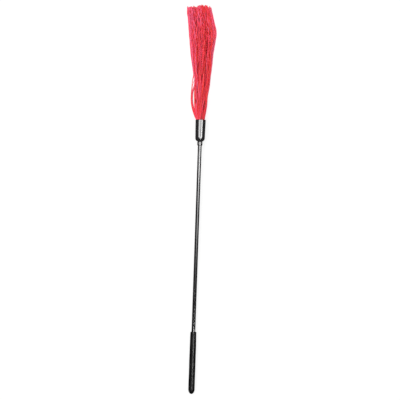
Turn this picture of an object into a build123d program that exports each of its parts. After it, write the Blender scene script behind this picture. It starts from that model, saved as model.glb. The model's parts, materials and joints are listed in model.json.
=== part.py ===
from build123d import *
import math
import os

# A tassel stick lying on a flat surface: a slim black shaft with a dipped grip on one end and a
# fringe of red rubber strands in a cup on the other. Millimetres, +Z up. The origin is on the
# surface, under the middle of the stick's length. +Y runs from the butt to the strand tips and +X
# is to the right when the tassel points away.
#
# Stations are measured along the stick from its butt end, and reaches along +Y from the ferrule's
# mouth.

# ---- driving dimensions ----

OVERALL_LENGTH = 650.0

GRIP_LENGTH = 104.0
GRIP_RADIUS = 5.3
GRIP_DOME_LENGTH = 8.0
GRIP_STRAIGHT_END = 80.0
GRIP_NECK_STATION = 102.0
GRIP_NECK_RADIUS = 4.95
GRIP_SHOULDER_RADIUS = 1.4
GRIP_BORE_START = 9.0

SHAFT_RADIUS = 3.2
SHAFT_START = 11.5
SHAFT_END = 429.4
CORE_RADIUS = 2.5
GLUE_GAP = 0.05
ROD_CAP_CHAMFER = 0.6

COLLAR_START = 415.4
COLLAR_END = 421.7
COLLAR_RADIUS = 4.3
COLLAR_ROUNDING = 0.95

FERRULE_START = 421.6
FERRULE_END = 458.2
FERRULE_BASE_RADIUS = 7.9
FERRULE_MOUTH_RADIUS = 8.5
FERRULE_CORNER_RADIUS = 6.0
FERRULE_WALL = 1.0
FERRULE_LIP_ROUNDING = 0.35

GLUE_END = 432.9

HEADER_START = 433.4
HEADER_END = 449.0
HEADER_INNER_RADIUS = 0.8
HEADER_OUTER_RADIUS = 5.9
SHEET_THICKNESS = 0.5
SHEET_PITCH = 0.6

THREAD_DIAMETER = 0.5
THREAD_TURNS = 4
THREAD_PITCH = 0.7
THREAD_START = 435.4
THREAD_CLEARANCE = 0.05

# Reaches where the fringe bends or changes shape: its three rows of hinges, its gathered
# shoulder, where it is widest, where its right side narrows, and its tips.
SWAY_REACH = 8.3
SHOULDER_REACH = 24.0
LIFT_REACH = 40.0
TIP_REACH = 100.0
WIDEST_REACH = 146.0
NARROWING_REACH = 173.0
END_REACH = OVERALL_LENGTH - FERRULE_END

# The fringe there: reach, left edge, right edge, height.
FRINGE = (
    (SWAY_REACH, -7.6, 7.6, 15.2),
    (SHOULDER_REACH, -13.0, 10.0, 13.2),
    (LIFT_REACH, -14.0, 10.8, 11.6),
    (TIP_REACH, -18.6, 17.2, 7.0),
    (WIDEST_REACH, -24.4, 22.2, 5.6),
    (NARROWING_REACH, -27.4, 16.0, 5.1),
    (END_REACH, -27.4, 10.4, 4.6),
)
LOCK_NAMES = ("left_outer", "left_inner", "centre", "right_inner", "right_outer")
LOCK_CROWN = (0.70, 0.93, 1.0, 0.93, 0.70)
LOCK_GAP = 0.4
LOCK_ROUNDING = 1.2
HINGE_GAP = 0.4
NECK_FLOOR_GAP = 0.3
NOSE_RADIUS = 7.6
NOSE_ANGLES = (20, 40, 60, 75)

# ---- the stick's axis, worked out from how it lies ----

# The mouth of the ferrule and the butt of the grip both touch the surface, so the axis climbs a
# little towards the ferrule.
PITCH = math.atan((FERRULE_MOUTH_RADIUS - GRIP_RADIUS) / (FERRULE_END - GRIP_DOME_LENGTH))
BUTT_Y = -OVERALL_LENGTH / 2
BUTT_Z = GRIP_RADIUS * math.cos(PITCH) - GRIP_DOME_LENGTH * math.sin(PITCH)
STICK_DIRECTION = (0, math.cos(PITCH), math.sin(PITCH))


def on_axis(station):
    """The point of the stick's axis at a station."""
    return (0, BUTT_Y + station * STICK_DIRECTION[1], BUTT_Z + station * STICK_DIRECTION[2])


STICK_AXIS = Axis(on_axis(0), STICK_DIRECTION)
# Half-sections are drawn here, with the radius along x and the station along y.
PROFILE = Plane(origin=on_axis(0), x_dir=(1, 0, 0), z_dir=(0, -math.sin(PITCH), math.cos(PITCH)))
MOUTH_Y = on_axis(FERRULE_END)[1]


def across(station):
    """The plane square to the stick at a station."""
    return Plane(origin=on_axis(station), x_dir=(1, 0, 0), z_dir=STICK_DIRECTION)


# ---- grip ----


def make_grip_sleeve():
    """Dipped rubber sleeve with a domed closed end and a rounded upper shoulder."""
    bore = SHAFT_RADIUS + GLUE_GAP
    with BuildPart() as grip_sleeve:
        with BuildSketch(PROFILE) as section:
            with BuildLine():
                dome = Spline((0, 0), (GRIP_RADIUS, GRIP_DOME_LENGTH), tangents=[(1, 0), (0, 1)])
                Polyline(
                    dome @ 1,
                    (GRIP_RADIUS, GRIP_STRAIGHT_END),
                    (GRIP_NECK_RADIUS, GRIP_NECK_STATION),
                    (GRIP_NECK_RADIUS, GRIP_LENGTH),
                    (bore, GRIP_LENGTH),
                    (bore, GRIP_BORE_START),
                    (0, GRIP_BORE_START),
                    (0, 0),
                )
            make_face()
            shoulder = section.vertices().group_by(Axis.Y)[-1].sort_by(Axis.X)[-1]
            fillet(shoulder, GRIP_SHOULDER_RADIUS)
        revolve(axis=STICK_AXIS)
    return grip_sleeve.part


def make_rod_end_cap():
    """Small cap that keeps the rod's cut end off the inside of the grip."""
    with BuildPart() as rod_end_cap:
        with BuildSketch(across(GRIP_BORE_START)):
            Circle(SHAFT_RADIUS)
        extrude(amount=SHAFT_START - GRIP_BORE_START)
        chamfer(rod_end_cap.edges().sort_by(Axis.Y)[0], ROD_CAP_CHAMFER)
    return rod_end_cap.part


# ---- shaft ----


def make_core_rod():
    """Springy fibreglass rod through the whole stick, glued into the ferrule's foot."""
    with BuildPart() as core_rod:
        with BuildSketch(across(SHAFT_START)):
            Circle(CORE_RADIUS)
        extrude(amount=GLUE_END - SHAFT_START)
    return core_rod.part


def make_shaft_sleeve():
    """Glossy black tube over the rod, from inside the grip to inside the ferrule."""
    with BuildPart() as shaft_sleeve:
        with BuildSketch(across(SHAFT_START)):
            Circle(SHAFT_RADIUS)
            Circle(CORE_RADIUS + GLUE_GAP, mode=Mode.SUBTRACT)
        extrude(amount=SHAFT_END - SHAFT_START)
    return shaft_sleeve.part


def make_neck_collar():
    """Rounded bead on the shaft that stops the ferrule."""
    with BuildPart() as neck_collar:
        with BuildSketch(PROFILE) as section:
            with BuildLine():
                Polyline(
                    (SHAFT_RADIUS + GLUE_GAP, COLLAR_START),
                    (COLLAR_RADIUS, COLLAR_START),
                    (COLLAR_RADIUS, COLLAR_END),
                    (SHAFT_RADIUS + GLUE_GAP, COLLAR_END),
                    close=True,
                )
            make_face()
            outer_corners = section.vertices().group_by(Axis.X)[-1]
            fillet(outer_corners, COLLAR_ROUNDING)
        revolve(axis=STICK_AXIS)
    return neck_collar.part


# ---- ferrule ----

# Both the outside and the inside of the cup's foot turn about this point.
FOOT_CENTRE = (FERRULE_BASE_RADIUS - FERRULE_CORNER_RADIUS, FERRULE_START + FERRULE_CORNER_RADIUS)


def foot_arc(radius, hole_radius):
    """The cup's foot at one radius: from its wall in to the hole for the shaft."""
    sweep_angle = math.degrees(math.acos((hole_radius - FOOT_CENTRE[0]) / radius))
    return CenterArc(FOOT_CENTRE, radius, 0, -sweep_angle)


def make_ferrule_cup():
    """Cup that holds the fringe, flared a little towards its mouth."""
    hole = SHAFT_RADIUS + GLUE_GAP
    with BuildPart() as ferrule_cup:
        with BuildSketch(PROFILE) as section:
            with BuildLine():
                outer_foot = foot_arc(FERRULE_CORNER_RADIUS, hole)
                inner_foot = foot_arc(FERRULE_CORNER_RADIUS - FERRULE_WALL, hole)
                Line(outer_foot @ 1, inner_foot @ 1)
                Polyline(
                    outer_foot @ 0,
                    (FERRULE_MOUTH_RADIUS, FERRULE_END),
                    (FERRULE_MOUTH_RADIUS - FERRULE_WALL, FERRULE_END),
                    inner_foot @ 0,
                )
            make_face()
            fillet(section.vertices().group_by(Axis.Y)[-1], FERRULE_LIP_ROUNDING)
        revolve(axis=STICK_AXIS)
    return ferrule_cup.part


def make_glue_plug():
    """Cast adhesive in the cup's foot, round the end of the shaft."""
    inner_wall = FERRULE_BASE_RADIUS - FERRULE_WALL - GLUE_GAP
    round_shaft = SHAFT_RADIUS + GLUE_GAP
    round_core = CORE_RADIUS + GLUE_GAP
    with BuildPart() as glue_plug:
        with BuildSketch(PROFILE):
            with BuildLine():
                foot = foot_arc(FERRULE_CORNER_RADIUS - FERRULE_WALL - GLUE_GAP, round_shaft)
                Polyline(
                    foot @ 1,
                    (round_shaft, SHAFT_END + GLUE_GAP),
                    (round_core, SHAFT_END + GLUE_GAP),
                    (round_core, GLUE_END),
                    (inner_wall, GLUE_END),
                    foot @ 0,
                )
            make_face()
        revolve(axis=STICK_AXIS)
    return glue_plug.part


# ---- the fringe inside the ferrule ----

HEADER_TURNS = (HEADER_OUTER_RADIUS - SHEET_THICKNESS - HEADER_INNER_RADIUS) / SHEET_PITCH
SPIRAL_POINTS_PER_TURN = 12


def spiral_points(start_radius):
    """Points of one face of the rolled sheet, as a spiral that grows one pitch a turn."""
    count = round(HEADER_TURNS * SPIRAL_POINTS_PER_TURN)
    points = []
    for i in range(count + 1):
        turn = HEADER_TURNS * i / count
        radius = start_radius + SHEET_PITCH * turn
        angle = 2 * math.pi * turn
        points.append((radius * math.cos(angle), radius * math.sin(angle)))
    return points


def make_fringe_header():
    """Uncut edge of the slit rubber sheet, rolled up tight and glued into the cup."""
    with BuildPart() as fringe_header:
        with BuildSketch(across(HEADER_START)):
            with BuildLine():
                inner_face = Spline(*spiral_points(HEADER_INNER_RADIUS))
                outer_face = Spline(*spiral_points(HEADER_INNER_RADIUS + SHEET_THICKNESS))
                Line(inner_face @ 0, outer_face @ 0)
                Line(inner_face @ 1, outer_face @ 1)
            make_face()
        extrude(amount=HEADER_END - HEADER_START)
    return fringe_header.part


def make_binding_thread():
    """Thread wound round the rolled header to hold it closed."""
    radius = HEADER_OUTER_RADIUS + THREAD_CLEARANCE + THREAD_DIAMETER / 2
    with BuildPart() as binding_thread:
        with BuildLine():
            winding = Helix(
                THREAD_PITCH,
                THREAD_PITCH * THREAD_TURNS,
                radius,
                center=on_axis(THREAD_START),
                direction=STICK_DIRECTION,
            )
        with BuildSketch(Plane(origin=winding @ 0, z_dir=winding % 0)):
            Circle(THREAD_DIAMETER / 2)
        sweep(path=winding, is_frenet=True)
    return binding_thread.part


# ---- the free fringe: one neck, then five locks of strands, each in a middle and a tip ----


def fringe_at(reach):
    """Left edge, right edge and height of the whole fringe at a reach."""
    for near, far in zip(FRINGE, FRINGE[1:]):
        if reach <= far[0]:
            share = (reach - near[0]) / (far[0] - near[0])
            return [a + share * (b - a) for a, b in zip(near[1:], far[1:])]
    return list(FRINGE[-1][1:])


def divider(line, reach):
    """Where a line between two locks runs at a reach.

    Up to the tip hinge the lines share out the fringe's width. From there each runs straight to
    the tips, so that the locks part cleanly.
    """
    if reach > TIP_REACH:
        share = (reach - TIP_REACH) / (END_REACH - TIP_REACH)
        return (1 - share) * shared_out(line, TIP_REACH) + share * shared_out(line, END_REACH)
    return shared_out(line, reach)


def shared_out(line, reach):
    """The place of a line that shares out the fringe's width evenly at a reach."""
    left, right, _ = fringe_at(reach)
    return left + (right - left) * line / len(LOCK_NAMES)


def lock_section(index, reach):
    """Left edge, right edge and height of one lock at a reach."""
    left, right, height = fringe_at(reach)
    if index > 0:
        left = divider(index, reach) + LOCK_GAP / 2
    if index < len(LOCK_NAMES) - 1:
        right = divider(index + 1, reach) - LOCK_GAP / 2
    return left, right, height * LOCK_CROWN[index]


def make_lock(index, reaches):
    """One link of one lock, through its sections at the given reaches."""
    with BuildPart() as lock:
        for reach in reaches:
            left, right, height = lock_section(index, reach)
            centre = ((left + right) / 2, MOUTH_Y + reach, height / 2)
            with BuildSketch(Plane(origin=centre, x_dir=(1, 0, 0), z_dir=(0, 1, 0))):
                RectangleRounded(right - left, height, LOCK_ROUNDING)
        loft(ruled=True)
    return lock.part


def make_tassel_neck():
    """The gathered strands just out of the ferrule, with a round nose that turns in its mouth."""
    sections = []
    for angle in NOSE_ANGLES:
        radius = NOSE_RADIUS * math.sin(math.radians(angle))
        reach = SWAY_REACH - NOSE_RADIUS * math.cos(math.radians(angle))
        sections.append((reach, 0, radius, radius, NOSE_RADIUS))
    for reach in (SWAY_REACH, SHOULDER_REACH, LIFT_REACH - HINGE_GAP / 2):
        left, right, height = fringe_at(reach)
        sections.append((reach, (left + right) / 2, (right - left) / 2, height / 2, height / 2))
    with BuildPart() as tassel_neck:
        for reach, x, half_width, half_height, rise in sections:
            centre = (x, MOUTH_Y + reach, NECK_FLOOR_GAP + rise)
            with BuildSketch(Plane(origin=centre, x_dir=(1, 0, 0), z_dir=(0, 1, 0))):
                Ellipse(half_width, half_height)
        loft(ruled=True)
    return tassel_neck.part


# ---- write every piece ----

os.makedirs("parts", exist_ok=True)

pieces = {
    "grip_sleeve": make_grip_sleeve(),
    "rod_end_cap": make_rod_end_cap(),
    "core_rod": make_core_rod(),
    "shaft_sleeve": make_shaft_sleeve(),
    "neck_collar": make_neck_collar(),
    "ferrule_cup": make_ferrule_cup(),
    "glue_plug": make_glue_plug(),
    "fringe_header": make_fringe_header(),
    "binding_thread": make_binding_thread(),
    "tassel_neck": make_tassel_neck(),
}

MIDDLE_REACHES = (LIFT_REACH + HINGE_GAP / 2, TIP_REACH - HINGE_GAP / 2)
TIP_REACHES = (TIP_REACH + HINGE_GAP / 2, WIDEST_REACH, NARROWING_REACH, END_REACH)
for index, name in enumerate(LOCK_NAMES):
    pieces[f"{name}_lock_middle"] = make_lock(index, MIDDLE_REACHES)
    pieces[f"{name}_lock_tip"] = make_lock(index, TIP_REACHES)

for name, piece in pieces.items():
    piece.label = name
    export_step(piece, f"parts/{name}.step")

whole = Compound(children=list(pieces.values())).bounding_box()
print("size", whole.size, "from", whole.min, "to", whole.max)
print("mouth centre", on_axis(FERRULE_END), "pitch in degrees", math.degrees(PITCH))
print("mid-grip", on_axis((GRIP_DOME_LENGTH + GRIP_STRAIGHT_END) / 2))
print("mid-shaft", on_axis((GRIP_LENGTH + COLLAR_START) / 2))
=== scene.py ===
import json
import math

import bmesh
import bpy
import numpy as np
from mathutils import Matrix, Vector


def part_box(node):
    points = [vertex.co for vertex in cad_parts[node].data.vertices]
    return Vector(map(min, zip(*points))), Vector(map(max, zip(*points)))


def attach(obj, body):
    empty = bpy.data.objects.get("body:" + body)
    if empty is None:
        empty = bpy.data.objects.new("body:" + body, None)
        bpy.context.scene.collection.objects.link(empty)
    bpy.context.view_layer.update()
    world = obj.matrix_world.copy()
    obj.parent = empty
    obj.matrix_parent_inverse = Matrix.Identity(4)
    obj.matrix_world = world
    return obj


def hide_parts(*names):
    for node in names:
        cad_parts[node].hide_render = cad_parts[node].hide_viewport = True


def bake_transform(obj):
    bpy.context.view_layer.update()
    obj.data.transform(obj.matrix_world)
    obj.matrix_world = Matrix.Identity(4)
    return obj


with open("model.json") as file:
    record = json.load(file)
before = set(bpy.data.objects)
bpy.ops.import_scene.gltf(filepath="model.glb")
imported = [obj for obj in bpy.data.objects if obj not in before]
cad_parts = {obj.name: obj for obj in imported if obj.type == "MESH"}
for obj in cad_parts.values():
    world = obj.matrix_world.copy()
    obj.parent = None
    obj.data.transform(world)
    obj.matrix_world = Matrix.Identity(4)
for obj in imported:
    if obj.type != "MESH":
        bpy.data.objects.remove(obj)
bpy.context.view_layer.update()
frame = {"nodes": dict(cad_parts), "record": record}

MM = 0.001
LOCKS = ("left_outer", "left_inner", "centre", "right_inner", "right_outer")

# ---- the stick's axis, from the frame ----

grip_mount = next(m for m in frame["record"]["mounts"] if m["name"] == "grip_socket_pin")
ALONG = -Vector(grip_mount["axis"]).normalized()
ACROSS = Vector((1, 0, 0))
UPWARD = ACROSS.cross(ALONG)
BUTT = Vector(grip_mount["pos_m"])
BUTT -= ALONG * (BUTT.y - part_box("grip_sleeve")[0].y) / ALONG.y


def station(y):
    """Distance along the stick from its butt, for a y in the frame."""
    return (y - BUTT.y) / ALONG.y


def on_axis(s):
    """The point of the stick's axis at a station."""
    return BUTT + ALONG * s


def span(node):
    """First and last station of a CAD node."""
    low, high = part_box(node)
    return station(low.y), station(high.y)


def outer_radius(node):
    """Radius of a turned CAD node, from its width."""
    low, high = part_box(node)
    return (high.x - low.x) / 2


MOUTH_STATION = span("ferrule_cup")[1]
MOUTH = on_axis(MOUTH_STATION)

# ---- materials ----


def new_material(name, **values):
    """A material with one Principled shader, its plain values set on the shader's own sockets."""
    material = bpy.data.materials.new(name)
    material.use_nodes = True
    tree = material.node_tree
    tree.nodes.clear()
    shader = tree.nodes.new("ShaderNodeBsdfPrincipled")
    output = tree.nodes.new("ShaderNodeOutputMaterial")
    tree.links.new(shader.outputs["BSDF"], output.inputs["Surface"])
    for socket, value in values.items():
        shader.inputs[socket.replace("_", " ")].default_value = value
    return material, tree, shader


def noise(tree, scale, stretch=(1, 1, 1), detail=3.0, roughness=0.55):
    """Noise in the frame's own metres, stretched along any axis by a smaller factor there."""
    coordinates = tree.nodes.new("ShaderNodeTexCoord")
    mapping = tree.nodes.new("ShaderNodeMapping")
    mapping.inputs["Scale"].default_value = stretch
    texture = tree.nodes.new("ShaderNodeTexNoise")
    texture.inputs["Scale"].default_value = scale
    texture.inputs["Detail"].default_value = detail
    texture.inputs["Roughness"].default_value = roughness
    tree.links.new(coordinates.outputs["Object"], mapping.inputs["Vector"])
    tree.links.new(mapping.outputs["Vector"], texture.inputs["Vector"])
    return texture.outputs["Fac"]


def ramp(tree, factor, stops):
    """A colour ramp; each stop is (position, colour or grey level)."""
    node = tree.nodes.new("ShaderNodeValToRGB")
    elements = node.color_ramp.elements
    while len(elements) < len(stops):
        elements.new(0.5)
    for element, (position, colour) in zip(elements, stops):
        element.position = position
        if not hasattr(colour, "__len__"):
            colour = (colour, colour, colour)
        element.color = (*colour, 1)
    tree.links.new(factor, node.inputs["Fac"])
    return node.outputs["Color"]


def bump(tree, shader, heights):
    """Stacks bumps onto the shader; each is (height output, strength, distance in metres)."""
    normal = None
    for height, strength, distance in heights:
        node = tree.nodes.new("ShaderNodeBump")
        node.inputs["Strength"].default_value = strength
        node.inputs["Distance"].default_value = distance
        tree.links.new(height, node.inputs["Height"])
        if normal is not None:
            tree.links.new(normal, node.inputs["Normal"])
        normal = node.outputs["Normal"]
    tree.links.new(normal, shader.inputs["Normal"])


def multiply(tree, first, second, strength):
    """The first colour darkened by the second one."""
    node = tree.nodes.new("ShaderNodeMix")
    node.data_type = "RGBA"
    node.blend_type = "MULTIPLY"
    node.inputs["Factor"].default_value = strength
    tree.links.new(first, node.inputs["A"])
    tree.links.new(second, node.inputs["B"])
    return node.outputs["Result"]


# A strand's tone goes from deep red through pure red to pink.
STRAND_TONES = (
    (0.0, (0.48, 0.006, 0.014)),
    (0.25, (0.91, 0.017, 0.042)),
    (0.5, (0.97, 0.042, 0.030)),
    (0.75, (0.96, 0.044, 0.100)),
    (1.0, (0.97, 0.125, 0.250)),
)
STREAK_TONES = ((0.3, (0.84, 0.72, 0.74)), (0.7, (1, 1, 1)))
STREAK_STRENGTH = 0.75


def strand_rubber():
    """Red cut rubber: tones that vary by strand, with fine lengthwise streaks and satin sheen."""
    material, tree, shader = new_material("red_strand_rubber", Specular_IOR_Level=0.3)
    tone = tree.nodes.new("ShaderNodeAttribute")
    tone.attribute_name = "strand_tone"
    own = ramp(tree, tone.outputs["Fac"], STRAND_TONES)
    streaks = noise(tree, 900, (1, 0.05, 1), 4)
    colour = multiply(tree, own, ramp(tree, streaks, STREAK_TONES), STREAK_STRENGTH)
    tree.links.new(colour, shader.inputs["Base Color"])
    tree.links.new(ramp(tree, streaks, [(0.2, 0.58), (0.8, 0.44)]), shader.inputs["Roughness"])
    bump(tree, shader, [(noise(tree, 2600, (1, 0.12, 1), 2), 0.25, 0.00005)])
    return material


GLOSS_IOR = 1.9
GLOSS_COAT = 0.8


def gloss_tube():
    """Glossy black tube: faint drawn waves along it and very fine handling marks."""
    material, tree, shader = new_material(
        "gloss_black_tube", IOR=GLOSS_IOR, Coat_Weight=GLOSS_COAT, Coat_Roughness=0.07
    )
    cloud = noise(tree, 45, (1, 0.5, 1), 3)
    marks = noise(tree, 2200, (1, 0.03, 1), 3)
    colour = ramp(tree, cloud, [(0.3, (0.010, 0.010, 0.011)), (0.7, (0.018, 0.017, 0.018))])
    tree.links.new(colour, shader.inputs["Base Color"])
    tree.links.new(ramp(tree, marks, [(0.3, 0.09), (0.75, 0.17)]), shader.inputs["Roughness"])
    bump(tree, shader, [(noise(tree, 110, (1, 0.25, 1), 2), 0.04, 0.0004), (marks, 0.02, 0.00003)])
    return material


def ferrule_lacquer():
    """Polished black cup with light rub marks near its edges."""
    material, tree, shader = new_material(
        "polished_black_ferrule", IOR=GLOSS_IOR, Coat_Weight=GLOSS_COAT, Coat_Roughness=0.05
    )
    marks = noise(tree, 1500, (1, 0.08, 1), 4)
    cloud = noise(tree, 160, detail=4)
    colour = ramp(tree, cloud, [(0.3, (0.020, 0.019, 0.020)), (0.7, (0.032, 0.031, 0.032))])
    tree.links.new(colour, shader.inputs["Base Color"])
    tree.links.new(ramp(tree, marks, [(0.35, 0.07), (0.8, 0.18)]), shader.inputs["Roughness"])
    bump(tree, shader, [(noise(tree, 240, (1, 0.4, 1), 2), 0.03, 0.0003)])
    return material


def grip_rubber():
    """Dipped rubber: a fine pebbled skin over slow unevenness, worn a little smoother in patches."""
    material, tree, shader = new_material("dipped_grip_rubber", Specular_IOR_Level=0.55)
    pebble = noise(tree, 1500, detail=5, roughness=0.6)
    patches = noise(tree, 75, (1, 0.45, 1), 3)
    colour = ramp(tree, patches, [(0.3, (0.0025, 0.0025, 0.003)), (0.72, (0.006, 0.0055, 0.006))])
    tree.links.new(colour, shader.inputs["Base Color"])
    tree.links.new(ramp(tree, patches, [(0.3, 0.30), (0.7, 0.42)]), shader.inputs["Roughness"])
    slow_waves = noise(tree, 140, (1, 0.5, 1), 3)
    bump(tree, shader, [(slow_waves, 0.35, 0.0006), (pebble, 0.35, 0.00008)])
    return material


def plain_stock(name, dark, light, rough, scale, stretch=(1, 1, 1)):
    """A simple mottled or fibrous material for the pieces inside the stick."""
    material, tree, shader = new_material(name)
    grain = noise(tree, scale, stretch, 4)
    tree.links.new(ramp(tree, grain, [(0.3, dark), (0.7, light)]), shader.inputs["Base Color"])
    tree.links.new(ramp(tree, grain, [(0.3, rough), (0.7, rough + 0.15)]), shader.inputs["Roughness"])
    bump(tree, shader, [(grain, 0.2, 0.0001)])
    return material


STRAND = strand_rubber()
TUBE = gloss_tube()
FERRULE = ferrule_lacquer()
GRIP = grip_rubber()
FIBREGLASS = plain_stock(
    "fibreglass_rod", (0.55, 0.53, 0.44), (0.80, 0.79, 0.70), 0.35, 900, (1, 0.02, 1)
)
VINYL = plain_stock("black_vinyl", (0.02, 0.02, 0.02), (0.05, 0.05, 0.05), 0.5, 400)
ADHESIVE = plain_stock("cast_adhesive", (0.62, 0.50, 0.26), (0.80, 0.70, 0.44), 0.25, 250)
THREAD = plain_stock("waxed_thread", (0.50, 0.47, 0.42), (0.78, 0.75, 0.68), 0.7, 3000, (1, 0.3, 1))
HEADER = plain_stock("red_rubber_sheet", (0.50, 0.02, 0.03), (0.72, 0.04, 0.05), 0.45, 700)

for node, material in {
    "core_rod": FIBREGLASS,
    "rod_end_cap": VINYL,
    "glue_plug": ADHESIVE,
    "binding_thread": THREAD,
    "fringe_header": HEADER,
}.items():
    frame["nodes"][node].data.materials.clear()
    frame["nodes"][node].data.materials.append(material)

# ---- turned pieces: grip, tube, collar and ferrule ----


def rounded(corners, steps=8):
    """A closed outline from (station, radius, fillet) corners, with an arc at each fillet."""
    points = []
    count = len(corners)
    for i, (s, r, fillet) in enumerate(corners):
        here = np.array((s, r))
        if fillet <= 0:
            points.append(here)
            continue
        before = np.array(corners[i - 1][:2]) - here
        after = np.array(corners[(i + 1) % count][:2]) - here
        before /= np.linalg.norm(before)
        after /= np.linalg.norm(after)
        half = math.acos(max(-1.0, min(1.0, float(before @ after)))) / 2
        centre = here + (before + after) / np.linalg.norm(before + after) * fillet / math.sin(half)
        start = here + before * fillet / math.tan(half) - centre
        end = here + after * fillet / math.tan(half) - centre
        turn = math.acos(max(-1.0, min(1.0, float(start @ end) / fillet**2)))
        for k in range(steps + 1):
            a, b = math.sin(turn * (1 - k / steps)), math.sin(turn * k / steps)
            points.append(centre + (start * a + end * b) / math.sin(turn))
    return [tuple(p) for p in points]


def subdivide(points, longest):
    """Adds points to an outline so that no straight run is longer than asked."""
    out = []
    for a, b in zip(points, points[1:] + points[:1]):
        parts = max(1, math.ceil(math.dist(a, b) / longest))
        for k in range(parts):
            share = k / parts
            out.append((a[0] + share * (b[0] - a[0]), a[1] + share * (b[1] - a[1])))
    return out


def turned(name, outline, material, node, segments=96, uneven=None):
    """A closed turned mesh about the stick's axis from a closed outline of (station, radius)."""
    mesh = bmesh.new()
    rings = []
    for s, r in outline:
        if r < 1e-7:
            rings.append([mesh.verts.new(on_axis(s))])
            continue
        ring = []
        for k in range(segments):
            angle = 2 * math.pi * k / segments
            radius = r + (uneven(s, r, angle) if uneven else 0)
            ring.append(
                mesh.verts.new(
                    on_axis(s) + (ACROSS * math.cos(angle) + UPWARD * math.sin(angle)) * radius
                )
            )
        rings.append(ring)
    for a, b in zip(rings, rings[1:] + rings[:1]):
        if len(a) == 1 and len(b) == 1:
            continue
        for k in range(segments):
            n = (k + 1) % segments
            if len(a) == 1:
                mesh.faces.new((a[0], b[n], b[k]))
            elif len(b) == 1:
                mesh.faces.new((a[k], a[n], b[0]))
            else:
                mesh.faces.new((a[k], a[n], b[n], b[k]))
    bmesh.ops.recalc_face_normals(mesh, faces=mesh.faces)
    piece = add_mesh(name, mesh, material)
    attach(piece, "stick")
    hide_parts(node)


def add_mesh(name, mesh, material):
    """An object from a bmesh, smooth except for its many-sided flat ends."""
    data = bpy.data.meshes.new(name)
    mesh.to_mesh(data)
    mesh.free()
    for polygon in data.polygons:
        polygon.use_smooth = len(polygon.vertices) <= 4
    data.materials.append(material)
    piece = bpy.data.objects.new(name, data)
    bpy.context.scene.collection.objects.link(piece)
    return piece


GRIP_DOME = 8.0 * MM
GRIP_DOME_STEPS = 20
GRIP_STRAIGHT_END = 80.0 * MM
GRIP_NECK = 102.0 * MM
GRIP_NECK_RADIUS = 4.95 * MM
GRIP_SHOULDER = 1.4 * MM
GRIP_MOUTH_EDGE = 0.15 * MM
BORE_CLEARANCE = 0.05 * MM
TUBE_EDGE = 0.12 * MM
COLLAR_EDGE = 0.08 * MM
COLLAR_ROUNDNESS = 0.92

# The dipped skin is slightly uneven: how much, and its waves along the grip in radians a metre.
GRIP_UNEVENNESS = 0.07 * MM
GRIP_WAVES = (160, 430, 95)


def make_grip():
    """Dipped grip: elliptical dome, long straight stretch, slight neck and rounded shoulder."""
    start, end = span("grip_sleeve")
    radius = outer_radius("grip_sleeve")
    bore = outer_radius("shaft_sleeve") + BORE_CLEARANCE
    floor = span("rod_end_cap")[0]
    dome = []
    for k in range(GRIP_DOME_STEPS):
        angle = math.pi / 2 * k / GRIP_DOME_STEPS
        dome.append((start + GRIP_DOME * (1 - math.cos(angle)), radius * math.sin(angle)))
    rest = rounded(
        [
            (start + GRIP_DOME, radius, 0),
            (start + GRIP_STRAIGHT_END, radius, 0),
            (start + GRIP_NECK, GRIP_NECK_RADIUS, 0),
            (end, GRIP_NECK_RADIUS, GRIP_SHOULDER),
            (end, bore, GRIP_MOUTH_EDGE),
            (floor, bore, 0),
            (floor, 0, 0),
        ]
    )

    def uneven(s, r, angle):
        if r < bore * 1.1:
            return 0
        fade = min(1.0, s / GRIP_DOME) * min(1.0, (end - s) / GRIP_DOME)
        slow = math.sin(s * GRIP_WAVES[0] + 2.1 * math.sin(angle + 0.6))
        fast = math.sin(s * GRIP_WAVES[1] + 3 * angle) * math.sin(s * GRIP_WAVES[2] + angle)
        return GRIP_UNEVENNESS * fade * (0.6 * slow + 0.4 * fast)

    outline = subdivide(dome + rest, 1.5 * MM)
    turned("grip", outline, GRIP, "grip_sleeve", uneven=uneven)


def make_tube():
    """The shaft's glossy tube."""
    start, end = span("shaft_sleeve")
    radius = outer_radius("shaft_sleeve")
    inside = outer_radius("core_rod") + BORE_CLEARANCE
    corners = ((start, inside), (start, radius), (end, radius), (end, inside))
    outline = rounded([(s, r, TUBE_EDGE) for s, r in corners], 4)
    turned("shaft_tube", subdivide(outline, 20 * MM), TUBE, "shaft_sleeve", 64)


def make_collar():
    """The round bead below the ferrule."""
    start, end = span("neck_collar")
    radius = outer_radius("neck_collar")
    bore = outer_radius("shaft_sleeve") + BORE_CLEARANCE
    fillet = (radius - bore) * COLLAR_ROUNDNESS
    outline = rounded(
        [
            (start, bore, COLLAR_EDGE),
            (start, radius, fillet),
            (end, radius, fillet),
            (end, bore, COLLAR_EDGE),
        ],
        12,
    )
    turned("collar_bead", outline, FERRULE, "neck_collar")


FERRULE_WALL = 1.0 * MM
FERRULE_FOOT_RADIUS = 6.0 * MM
FERRULE_BASE_RADIUS = 7.9 * MM
FERRULE_LENGTH = 36.6 * MM
FERRULE_LIP = 0.35 * MM


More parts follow.
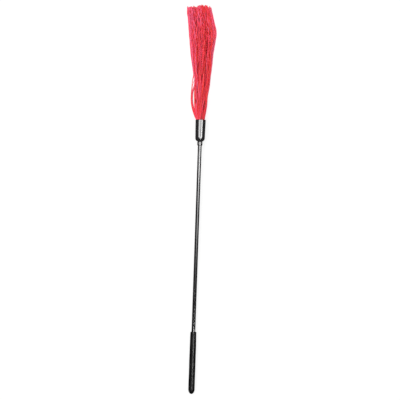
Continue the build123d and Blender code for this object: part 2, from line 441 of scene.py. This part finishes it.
def make_ferrule():
    """The cup: hemispherical foot, flared wall and rounded lip, hollow inside."""
    end = MOUTH_STATION
    radius = outer_radius("ferrule_cup")
    hole = outer_radius("shaft_sleeve") + BORE_CLEARANCE
    centre_s = end - FERRULE_LENGTH + FERRULE_FOOT_RADIUS
    centre_r = FERRULE_BASE_RADIUS - FERRULE_FOOT_RADIUS

    def foot(arc_radius, steps=16):
        last = math.acos((hole - centre_r) / arc_radius)
        points = []
        for k in range(steps, -1, -1):
            angle = last * k / steps
            s, r = arc_radius * math.sin(angle), arc_radius * math.cos(angle)
            points.append((centre_s - s, centre_r + r))
        return points

    outer = foot(FERRULE_FOOT_RADIUS)
    inner = foot(FERRULE_FOOT_RADIUS - FERRULE_WALL)
    lip = rounded(
        [
            (*outer[-1], 0),
            (end, radius, FERRULE_LIP),
            (end, radius - FERRULE_WALL, FERRULE_LIP),
            (*inner[-1], 0),
        ]
    )
    outline = outer + lip[1:-1] + inner[::-1]
    turned("ferrule", subdivide(outline, 3 * MM), FERRULE, "ferrule_cup", 128)


make_grip()
make_tube()
make_collar()
make_ferrule()

# ---- the fringe: one closed mesh of separate strands for each stretch of each lock ----

STRAND_COUNT = 160
BASE_COUNT = 66
STRAND_WIDTH = 1.0
STRAND_THICKNESS = 0.5
CORNER = 0.11
CLUMP_COUNT = 44
LOOSE_COUNT = 6
SEED = 11

# Adding these over and over, and keeping the part after the point, scatters places evenly.
SHARE_STEP = 0.7548776662
LEVEL_STEP = 0.5698402910

# The bottom layer lies on two levels, and the other strands fill what is above it.
BASE_LEVELS = (0.03, 0.13)
UPPER_LEVEL = 0.2
FREED_LEVELS = (0.15, 0.50)

# Where the pieces are cut, and where they bend, as reaches from the mouth in millimetres.
ROOT_REACH = -8.0
NECK_CUT = 31.0
MIDDLE_CUT = 80.0
NECK_STEPS = 15
MIDDLE_STEPS = 21
TIP_STEPS = 76

# The fringe as it lies, at a few reaches: reach, left edge, right edge, thickness, in millimetres.
LIE = np.array(
    [
        (-9.0, -5.6, 5.6, 11.2),
        (0.0, -7.2, 6.9, 13.8),
        (4.0, -9.0, 7.3, 14.0),
        (12.0, -12.1, 8.6, 13.6),
        (24.0, -13.3, 10.1, 12.3),
        (40.0, -13.9, 10.8, 11.0),
        (56.0, -13.8, 13.3, 9.6),
        (64.0, -13.4, 14.0, 9.0),
        (71.0, -13.7, 14.5, 8.5),
        (78.0, -15.3, 15.2, 8.1),
        (90.0, -17.2, 16.4, 7.5),
        (104.0, -19.8, 17.1, 7.0),
        (120.0, -21.9, 18.9, 6.3),
        (134.0, -23.6, 20.9, 5.8),
        (146.0, -25.0, 22.0, 5.5),
        (156.0, -26.0, 20.2, 5.2),
        (166.0, -27.0, 17.6, 5.0),
        (178.0, -28.9, 14.7, 4.8),
        (194.0, -29.9, 10.6, 4.5),
    ]
)
MOUTH_HEIGHT = MOUTH.z / MM
MOUTH_FILL = 13.8

# Over these reaches the strands leave the ferrule, sink to the surface and spread out flat.
LEAVING = (2, 34)
SINKING = (0, 22)
FLATTENING = (4, 70)
LYING_HEIGHT = STRAND_THICKNESS * 0.7
LOWEST_CENTRE = STRAND_THICKNESS * 0.75
LOWEST_POINT = 0.05

# Where the locks draw apart, so that each can lift alone.
LOCK_TIGHTENING = (60, MIDDLE_CUT)

# The trimmed ends: how far the left edge reaches, how much longer the rest is, and over which
# shares of the fringe the longer middle begins and ends.
CUT_REACH = 188.2
LONGER_MIDDLE = 2.3
LONGER_RIGHT = 1.0
MIDDLE_BEGINS = (0.37, 0.45)
MIDDLE_ENDS = (0.84, 0.93)
TIP_UNEVENNESS = 1.0

# The top of the bundle sinks a little on one side of the mouth.
HOLLOW_DEPTH = 3.0
HOLLOW_X = 2.4
HOLLOW_WIDTH = 2.6
HOLLOW_END = (1, 14)

# Clumps: how many fit across and in the thickness, how strongly they gather, and how far the
# clumps and the single strands wander, as shares of the fringe's width and thickness.
CLUMP_WIDTHS = 45
CLUMP_LAYERS = 6
CLUMP_PULL = 0.34
CLUMP_PULL_CHANGE = 0.40
CLUMP_DRIFT = 0.028
OWN_DRIFT = 0.019
BOTTOM_DRIFT = 0.003
CLUMP_HEAVE = 0.18
OWN_HEAVE = 0.16

# Shortest and longest wavelength of each kind of wander, in millimetres.
PULL_WAVES = (60, 130)
CLUMP_DRIFT_WAVES = (80, 190)
CLUMP_HEAVE_WAVES = (60, 140)
OWN_DRIFT_WAVES = (45, 130)
OWN_HEAVE_WAVES = (40, 110)
LOOSE_WAVES = (30, 70)
CRIMP_ACROSS_WAVES = (11, 24)
CRIMP_UP_WAVES = (13, 28)
STRAY_WAVES = (40, 90)
ROLL_WAVES = (40, 90)
TONE_WAVES = (25, 70)
FLECK_WAVES = (8, 20)

# Crimps, stray strands and curled ends, in millimetres: sizes near the mouth and added further out.
CRIMPING = (50, 150)
CRIMP_ACROSS = (0.10, 0.75)
CRIMP_UP = (0.06, 0.60)
STRAYING = (90, 150)
STRAY_SHARE = 0.14
STRAY = 1.6
CURLED_SHARE = 0.45
CURL = 2.6
CURL_SHORTENING = 0.6
RAISED_END = (0.4, 1.2)
LAST_STRETCH = (-16, 4)
BOTTOM_FREEDOM = 0.14

# How far the strands turn about their own length, in radians and in radians a millimetre.
ROLL = 0.6
ROLL_WANDER = 0.8
TWIST = 0.009

# How the strands' tones vary, where 1 is the whole range of the material; over which reaches the
# tips turn paler and the edges pinker; and how far from the middle of the fringe the edges are.
TONE_CONTRAST = 1.3
TONE_WANDER = 0.16
PALER_TIPS = 0.45
TIP_FLECKS = 0.22
# Painted shade: how far the red of the bottom layer is darkened, away from the edges, in place of the
# upper strands' shadow.
PAINTED_SHADE_BELOW = 0.55
PINKER_EDGE = 0.16
PINKER_STRAND = 0.48
PALING = (125, 170)
PINKING = (30, 120)
EDGE_ZONE = (0.66, 0.95)

# A few strands hang loose on the left and leave a gap: the reach and place of their middle, half
# their spread, and between which reaches each comes back, from the outermost one inwards.
LOOSE_LIE = np.array(
    [
        (0.0, -6.6),
        (3.0, -8.4),
        (6.0, -9.7),
        (10.0, -11.0),
        (20.0, -13.6),
        (32.0, -15.8),
        (44.0, -15.9),
        (58.0, -15.3),
        (65.0, -15.1),
        (70.0, -14.6),
        (80.0, -14.4),
    ]
)
LOOSE_SPREAD = 1.4
LOOSE_RETURNS = np.array(
    [
        (66.0, 80.0),
        (64.0, 78.0),
        (57.0, 71.0),
        (49.0, 60.0),
        (47.0, 58.0),
        (45.0, 56.0),
    ]
)
LOOSE_HEIGHTS = (1.2, 1.7)
LOOSE_GATHERED = 0.3
LOOSE_WANDER = 0.4
LOOSE_LEAVING = (-7, 2)
LOOSE_SPREADING = (-4, 24)

# Where the upper strands part: first and last reach, the place across there, and how far.
PARTINGS = (
    (3.0, 44.0, 0.4, 9.8, 2.5),
    (23.0, 39.0, -8.3, -9.3, 1.3),
    (50.0, 68.0, 4.5, 5.9, 0.9),
    (61.0, 82.0, -0.9, 0.6, 1.3),
    (70.0, 90.0, -8.6, -9.1, 0.9),
    (75.0, 98.0, 8.8, 11.6, 1.1),
    (88.0, 105.0, -10.8, -11.4, 0.9),
    (106.0, 130.0, 5.9, 7.0, 1.1),
    (114.0, 134.0, -8.5, -9.1, 0.9),
    (132.0, 156.0, 1.7, 2.9, 1.5),
    (136.0, 158.0, 10.1, 10.9, 1.5),
    (138.0, 156.0, 5.4, 6.0, 1.2),
    (150.0, 172.0, -12.8, -13.9, 1.7),
    (156.0, 179.0, -2.4, -1.4, 1.7),
    (158.0, 177.0, -7.9, -8.4, 1.5),
    (172.0, 192.0, -13.2, -13.8, 1.6),
    (170.0, 190.0, 3.4, 3.8, 1.4),
)
PARTING_WIDTH = 1.6


def smoothstep(x, low, high):
    t = np.clip((x - low) / (high - low), 0, 1)
    return t * t * (3 - 2 * t)


def through(x, xs, ys):
    """A smooth curve through the given points, by cubic pieces with matched slopes."""
    slopes = np.gradient(ys, xs)
    i = np.clip(np.searchsorted(xs, x) - 1, 0, len(xs) - 2)
    width = xs[i + 1] - xs[i]
    t = np.clip((x - xs[i]) / width, 0, 1)
    a = (1 + 2 * t) * (1 - t) ** 2 * ys[i] + t * t * (3 - 2 * t) * ys[i + 1]
    return a + (t * (1 - t) ** 2 * slopes[i] - t * t * (1 - t) * slopes[i + 1]) * width


def area_table(power):
    """For a section whose height at a in -1..1 is (1 - a*a)**power: places a, and the share of the
    section's area to the left of each."""
    a = np.linspace(-1, 1, 2001)
    area = np.cumsum((1 - a * a) ** power + 1e-9)
    return a, (area - area[0]) / (area[-1] - area[0])


DISC_POWER = 0.5
MAT_POWER = 0.32
DISC_PLACES, DISC_SHARES = area_table(DISC_POWER)
MAT_PLACES, MAT_SHARES = area_table(MAT_POWER)


def across_disc(share):
    return np.interp(share, DISC_SHARES, DISC_PLACES)


def across_mat(share):
    return np.interp(share, MAT_SHARES, MAT_PLACES)


def share_at(mat_place):
    return np.interp(mat_place, MAT_PLACES, MAT_SHARES)


def upper_part(level):
    """0 for the strands of the bottom layer and 1 for the ones in the upper half."""
    return smoothstep(level, *FREED_LEVELS)[:, None]


def place(share, level, reach):
    """Where a strand lies: share is its place across the fringe and level its place in the
    thickness, both 0 to 1. At the mouth the section is a disc, further out a flat-bottomed mat."""
    left, right, thick = (through(reach, LIE[:, 0], LIE[:, c]) for c in (1, 2, 3))
    left, right = left + STRAND_WIDTH / 2, right - STRAND_WIDTH / 2
    bottom = MOUTH_HEIGHT - MOUTH_FILL / 2
    bottom = bottom + (LYING_HEIGHT - bottom) * smoothstep(reach, *SINKING)
    flat = smoothstep(reach, *FLATTENING)
    disc_a, mat_a = across_disc(share), across_mat(share)
    a = disc_a + (mat_a - disc_a) * flat
    x = (left + right) / 2 + (right - left) / 2 * a
    disc_z = thick / 2 * (1 + (2 * level - 1) * np.sqrt(1 - disc_a**2))
    mat_z = thick * level * (1 - mat_a**2) ** MAT_POWER
    hollow = HOLLOW_DEPTH * level * np.exp(-(((x - HOLLOW_X) / HOLLOW_WIDTH) ** 2))
    disc_z = disc_z - hollow * (1 - smoothstep(reach, *HOLLOW_END))
    return x, bottom + disc_z + (mat_z - disc_z) * flat


def waves(rng, count, reach, shortest, longest, terms=3):
    """Smooth random wander between about -1 and 1, one row for each of count strands."""
    total = np.zeros_like(reach)
    for _ in range(terms):
        length = rng.uniform(shortest, longest, (count, 1))
        phase = rng.uniform(0, 2 * np.pi, (count, 1))
        total += np.sin(2 * np.pi * reach / length + phase)
    return total / terms


def lock_of(share):
    """Which of the five locks a strand belongs to, by its place across the mat."""
    return np.clip(((across_mat(share) + 1) / 2 * len(LOCKS)).astype(int), 0, len(LOCKS) - 1)


def lock_limits():
    """The shares where each lock begins and ends."""
    return share_at(np.linspace(-1, 1, len(LOCKS) + 1))


def scattered(count, step, start):
    """Values between 0 and 1, spread evenly in a mixed order."""
    return (start + np.arange(count) * step) % 1


def strand_places():
    """Each strand's place across the fringe and in its thickness, both 0 to 1."""
    upper_count = STRAND_COUNT - BASE_COUNT
    base_share = share_at(np.linspace(-1, 1, BASE_COUNT))
    share = np.append(base_share, scattered(upper_count, SHARE_STEP, 0.5))
    upper = UPPER_LEVEL + (1 - UPPER_LEVEL) * scattered(upper_count, LEVEL_STEP, 0.5)
    return share, np.append(np.resize(BASE_LEVELS, BASE_COUNT), upper)


def cut_reach(share):
    """How far the strands reach: trimmed nearly straight, and a little longer in the middle."""
    middle = smoothstep(share, *MIDDLE_BEGINS) * (1 - smoothstep(share, *MIDDLE_ENDS))
    return CUT_REACH + LONGER_MIDDLE * middle + LONGER_RIGHT * share


def ring_reaches(tip):
    """The reach of every ring of every strand. The cuts are at the same reach on all of them."""
    neck = np.linspace(ROOT_REACH, NECK_CUT, NECK_STEPS + 1)
    middle = np.linspace(NECK_CUT, MIDDLE_CUT, MIDDLE_STEPS + 1)[1:]
    far = np.linspace(0, 1, TIP_STEPS + 1)[1:]
    near = np.tile(np.append(neck, middle), (len(tip), 1))
    return np.append(near, MIDDLE_CUT + (tip[:, None] - MIDDLE_CUT) * far, axis=1)


def gather(rng, share, level, reach):
    """Strands gather into clumps that open and close along the fringe and leave dark gaps. The
    lowest ones stay spread out under them. Returns places across and in the thickness, for each
    ring, and which clump each strand is in."""
    clump_share = scattered(CLUMP_COUNT, SHARE_STEP, 0.25)
    clump_level = scattered(CLUMP_COUNT, LEVEL_STEP, 0.75)
    across, up = share[:, None] - clump_share, level[:, None] - clump_level
    clump = ((CLUMP_WIDTHS * across) ** 2 + (CLUMP_LAYERS * up) ** 2).argmin(1)
    upper = upper_part(level)
    beyond_mouth = smoothstep(reach, *LEAVING)
    clump_reach = reach[:CLUMP_COUNT]
    change = waves(rng, CLUMP_COUNT, clump_reach, *PULL_WAVES, terms=1)[clump]
    pull = (CLUMP_PULL + CLUMP_PULL_CHANGE * change) * beyond_mouth * upper
    drift = waves(rng, CLUMP_COUNT, clump_reach, *CLUMP_DRIFT_WAVES)[clump] * upper
    heave = waves(rng, CLUMP_COUNT, clump_reach, *CLUMP_HEAVE_WAVES)[clump]
    own_drift = waves(rng, len(share), reach, *OWN_DRIFT_WAVES)
    own_heave = waves(rng, len(share), reach, *OWN_HEAVE_WAVES)
    s = share[:, None] + (clump_share[clump] - share)[:, None] * pull
    s = s + beyond_mouth * (CLUMP_DRIFT * drift + (BOTTOM_DRIFT + OWN_DRIFT * upper) * own_drift)
    v = level[:, None] + (clump_level[clump] - level)[:, None] * pull
    v = v + beyond_mouth * upper * (CLUMP_HEAVE * heave + OWN_HEAVE * own_heave)
    return s, v, clump


def keep_to_locks(s, share, reach):
    """Past the tip hinges each strand keeps to its own lock, so that one lock can lift alone."""
    edges = lock_limits()
    lock = lock_of(share)
    tight = smoothstep(reach, *LOCK_TIGHTENING)
    low = edges[lock][:, None] * tight
    high = 1 - (1 - edges[lock + 1][:, None]) * tight
    return np.clip(s, low, high)


def part_strands(x, level, reach):
    """Pushes the upper strands aside along each parting, each to the side where it mostly lies."""
    upper = upper_part(level)
    for first, last, x_first, x_last, push in PARTINGS:
        along = np.clip((reach - first) / (last - first), 0, 1)
        opening = np.sin(np.pi * along) ** 2
        aside = x - (x_first + (x_last - x_first) * along)
        side = np.sign((aside * opening).sum(axis=1))[:, None]
        x = x + side * push * opening * np.exp(-((aside / PARTING_WIDTH) ** 2)) * upper
    return x


def let_loose(rng, share, reach, x, z):
    """Takes the leftmost strands out of the bundle, to lie loose on the surface beside it."""
    loose = np.argsort(share)[:LOOSE_COUNT]
    reach = reach[loose]
    spread = np.linspace(-LOOSE_SPREAD, LOOSE_SPREAD, LOOSE_COUNT)[:, None]
    away = smoothstep(reach, *LOOSE_SPREADING)
    spread = spread * (LOOSE_GATHERED + (1 - LOOSE_GATHERED) * away)
    line = through(reach, LOOSE_LIE[:, 0], LOOSE_LIE[:, 1]) + spread
    line = line + LOOSE_WANDER * away * waves(rng, LOOSE_COUNT, reach, *LOOSE_WAVES)
    hold = 1 - smoothstep(reach, LOOSE_RETURNS[:, :1], LOOSE_RETURNS[:, 1:])
    height = np.resize(LOOSE_HEIGHTS, LOOSE_COUNT)[:, None]
    x[loose] += (line - x[loose]) * hold * smoothstep(reach, *LOOSE_LEAVING)
    z[loose] += (height - z[loose]) * hold * away


def strand_tones(rng, share, level, clump, reach):
    """How deep or pale the red is on every ring of every strand, from 0 to 1."""
    n = len(share)
    shared = rng.uniform(0, 1, CLUMP_COUNT)[clump][:, None]
    own = rng.uniform(0, 1, (n, 1))
    tone = own + (shared - own) * upper_part(level) / 2
    tone = 0.5 + TONE_CONTRAST * (tone - 0.5) + TONE_WANDER * waves(rng, n, reach, *TONE_WAVES)
    paler = PALER_TIPS * rng.uniform(0, 1, (n, 1)) + TIP_FLECKS * waves(rng, n, reach, *FLECK_WAVES)
    tone = tone + smoothstep(reach, *PALING) * paler

    # The strands along both edges are pinker, and the ones underneath get painted shade: their red is
    # darkened where the upper strands would shade them.
    edge = smoothstep(np.abs(across_mat(share)), *EDGE_ZONE)[:, None]
    under = (1 - upper_part(level)) * (1 - edge) * smoothstep(reach, *LEAVING)
    pinker = edge * (PINKER_EDGE + PINKER_STRAND * own) * smoothstep(reach, *PINKING)
    tone = tone * (1 - PAINTED_SHADE_BELOW * under) + pinker
    return np.clip(tone, 0, 1)


def strand_paths():
    """Centre lines of all strands, in millimetres from the mouth: arrays of strand by ring."""
    rng = np.random.default_rng(SEED)
    n = STRAND_COUNT
    share, level = strand_places()
    tip = cut_reach(share) + rng.normal(0, TIP_UNEVENNESS, n)
    reach = ring_reaches(tip)
    s, v, clump = gather(rng, share, level, reach)
    x, z = place(keep_to_locks(s, share, reach), np.clip(v, 0, 1), reach)
    x = part_strands(x, level, reach)
    let_loose(rng, share, reach, x, z)

    # Fine crimps, stronger towards the tips, and a few strands that stray. The bottom layer lies
    # flatter than the rest and closes the gaps between them.
    beyond_mouth = smoothstep(reach, *LEAVING)
    free = BOTTOM_FREEDOM + (1 - BOTTOM_FREEDOM) * upper_part(level)
    crimp = free * smoothstep(reach, *CRIMPING)
    across, up = (near + more * crimp for near, more in (CRIMP_ACROSS, CRIMP_UP))
    x += waves(rng, n, reach, *CRIMP_ACROSS_WAVES) * across * beyond_mouth
    z += waves(rng, n, reach, *CRIMP_UP_WAVES) * up * beyond_mouth
    stray = (rng.uniform(0, 1, (n, 1)) < STRAY_SHARE) * (free > 0.5) * smoothstep(reach, *STRAYING)
    x += stray * STRAY * waves(rng, n, reach, *STRAY_WAVES)

    # Some tips curl sideways and up over their last stretch.
    last_stretch = smoothstep(reach - tip[:, None], *LAST_STRETCH)
    curl = rng.normal(0, 1.0, (n, 1)) * (rng.uniform(0, 1, (n, 1)) < CURLED_SHARE) * free
    x += curl * CURL * last_stretch
    y = reach - curl**2 * CURL_SHORTENING * last_stretch
    z += np.maximum(0, rng.normal(*RAISED_END, (n, 1))) * last_stretch
    z = np.maximum(z, LOWEST_CENTRE)

    # Each strand lies turned a little about its own length, and twists further towards its tip.
    roll = rng.uniform(-ROLL, ROLL, (n, 1)) + rng.normal(0, TWIST, (n, 1)) * reach
    roll = (roll + ROLL_WANDER * waves(rng, n, reach, *ROLL_WAVES) * beyond_mouth) * free**2
    tone = strand_tones(rng, share, level, clump, reach)
    return {"x": x, "y": y, "z": z, "roll": roll, "tone": tone, "lock": lock_of(share)}


def ribbon(mesh, layer, path, i, first, last):
    """One stretch of one strand as a closed tube with a rounded oblong section."""
    points = np.stack([path["x"][i], path["y"][i], path["z"][i]], axis=1)
    along = np.gradient(points, axis=0)
    along /= np.linalg.norm(along, axis=1)[:, None]
    half_w, half_t = STRAND_WIDTH / 2, STRAND_THICKNESS / 2
    section = [
        (half_w, half_t - CORNER),
        (half_w - CORNER, half_t),
        (CORNER - half_w, half_t),
        (-half_w, half_t - CORNER),
        (-half_w, CORNER - half_t),
        (CORNER - half_w, -half_t),
        (half_w - CORNER, -half_t),
        (half_w, CORNER - half_t),
    ]
    rings = []
    for k in range(first, last + 1):
        side = np.cross(along[k], (0, 0, 1))
        side /= np.linalg.norm(side)
        up = np.cross(side, along[k])
        c, s = math.cos(path["roll"][i, k]), math.sin(path["roll"][i, k])
        ring = []
        for w, t in section:
            offset = side * (w * c - t * s) + up * (w * s + t * c)
            p = points[k] + offset
            height = max(p[2], LOWEST_POINT)
            vertex = mesh.verts.new((p[0] * MM + MOUTH.x, p[1] * MM + MOUTH.y, height * MM))
            vertex[layer] = path["tone"][i, k]
            ring.append(vertex)
        rings.append(ring)
    count = len(section)
    for a, b in zip(rings, rings[1:]):
        for k in range(count):
            n = (k + 1) % count
            mesh.faces.new((a[k], b[k], b[n], a[n]))
    for cap in (mesh.faces.new(rings[0]), mesh.faces.new(rings[-1][::-1])):
        for edge in cap.edges:
            edge.smooth = False


def strand_piece(name, path, members, first, last, nodes):
    """A piece made of one stretch of several strands."""
    mesh = bmesh.new()
    layer = mesh.verts.layers.float.new("strand_tone")
    for i in members:
        ribbon(mesh, layer, path, i, first, last)
    bmesh.ops.recalc_face_normals(mesh, faces=mesh.faces)
    piece = add_mesh(name, mesh, STRAND)
    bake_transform(piece)
    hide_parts(*nodes)
    return piece


def make_fringe():
    path = strand_paths()
    neck_end = NECK_STEPS
    middle_end = neck_end + MIDDLE_STEPS
    tip_end = middle_end + TIP_STEPS
    everyone = range(STRAND_COUNT)
    strand_piece(
        "neck_strands", path, everyone, 0, neck_end,
        ["tassel_neck"],
    )
    for k, lock in enumerate(LOCKS):
        members = [i for i in everyone if path["lock"][i] == k]
        strand_piece(
            f"{lock}_strands_middle", path, members, neck_end, middle_end,
            [f"{lock}_lock_middle"],
        )
        strand_piece(
            f"{lock}_strands_tip", path, members, middle_end, tip_end,
            [f"{lock}_lock_tip"],
        )


make_fringe()

# ---- floor, light and camera ----

CAMERA_HEIGHT = 2.2
CAMERA_LEAN = math.radians(1.964)
CAMERA_X = 0.00346
CAMERA_Y = -0.0005
VIEW_WIDTH = 0.6702
SENSOR = 36.0
FLOOR_HALF_WIDTH = 6.0
FLOOR_DROP = 0.02 * MM
FLOOR_GLOW = 0.80
FLOOR_SHADES = ((0.3, 0.21), (0.7, 0.22))
WORLD_STRENGTH = 0.75
KEY_STRENGTH = 0.45
KEY_ANGLE = math.radians(75)
KEY_TURN = (math.radians(-12), math.radians(-24), 0)
BOX_HEIGHT = 1.0
SHAFT_BOX_EDGES = (0.09, 0.03, -0.02, -0.07, -0.11, -0.15, -0.21)
SHAFT_BOX_RADIANCE = (7.2, 4.0, 2.5, 2.6, 1.4, 0.5)
SHAFT_BOX_SIDES = (-0.26, 0.75)

# Each of the other soft boxes: name, radiance, left, right, near and far edge.
WIDE_BOXES = (
    ("left_soft_box", 5.2, -0.84, 0.05, 0.09, 0.60),
    ("right_soft_box", 8.0, 0.36, 1.0, 0.09, 0.60),
)
GRIP_BOX = ("grip_soft_box", 30.0, 0.14, 0.50, -0.41, -0.345)


def make_floor():
    """A pale lit table top, so that the object casts only faint shadows."""
    mesh = bmesh.new()
    bmesh.ops.create_grid(mesh, x_segments=1, y_segments=1, size=FLOOR_HALF_WIDTH)
    material, tree, shader = new_material("pale_floor", Roughness=0.9, Specular_IOR_Level=0.1)
    shader.inputs["Emission Color"].default_value = (1, 1, 1, 1)
    shader.inputs["Emission Strength"].default_value = FLOOR_GLOW
    shade = ramp(tree, noise(tree, 3), FLOOR_SHADES)
    tree.links.new(shade, shader.inputs["Base Color"])
    floor = add_mesh("floor", mesh, material)
    floor.location.z = -FLOOR_DROP
    floor.visible_glossy = False


def soft_box(name, radiance, left, right, y_first, y_last):
    """A soft light pointing straight down that only shows as a reflection in glossy surfaces."""
    light = bpy.data.lights.new(name, "AREA")
    light.shape = "RECTANGLE"
    light.size = right - left
    light.size_y = y_last - y_first
    light.energy = radiance * math.pi * light.size * light.size_y
    lamp = bpy.data.objects.new(name, light)
    lamp.location = ((left + right) / 2, (y_first + y_last) / 2, BOX_HEIGHT)
    lamp.visible_camera = False
    lamp.visible_diffuse = False
    bpy.context.scene.collection.objects.link(lamp)


def make_soft_boxes():
    """Two wide boxes over the ferrule and the tassel, a row of narrow ones along the shaft that
    fades out towards the grip, and a small one for the grip."""
    for name, *box in WIDE_BOXES:
        soft_box(name, *box)
    for k, radiance in enumerate(SHAFT_BOX_RADIANCE):
        far, near = SHAFT_BOX_EDGES[k : k + 2]
        soft_box(f"shaft_soft_box_{k}", radiance, *SHAFT_BOX_SIDES, near, far)
    soft_box(*GRIP_BOX)


def make_key():
    """A very wide soft light from above and to the left."""
    light = bpy.data.lights.new("key", "SUN")
    light.energy = KEY_STRENGTH * math.pi
    light.angle = KEY_ANGLE
    lamp = bpy.data.objects.new("key", light)
    lamp.rotation_euler = KEY_TURN
    lamp.visible_glossy = False
    bpy.context.scene.collection.objects.link(lamp)


def make_world():
    world = bpy.data.worlds.new("studio")
    bpy.context.scene.world = world
    world.use_nodes = True
    background = world.node_tree.nodes["Background"]
    background.inputs["Color"].default_value = (1, 1, 1, 1)
    background.inputs["Strength"].default_value = WORLD_STRENGTH
    world.cycles_visibility.glossy = False


def make_camera():
    data = bpy.data.cameras.new("camera")
    data.sensor_width = SENSOR
    data.lens = SENSOR * CAMERA_HEIGHT / VIEW_WIDTH
    data.clip_end = 100
    camera = bpy.data.objects.new("camera", data)
    camera.location = (CAMERA_X, CAMERA_Y, CAMERA_HEIGHT)
    camera.rotation_euler = (0, 0, CAMERA_LEAN)
    bpy.context.scene.collection.objects.link(camera)
    bpy.context.scene.camera = camera


make_floor()
make_soft_boxes()
make_key()
make_world()
make_camera()
bpy.context.scene.view_settings.view_transform = "Standard"
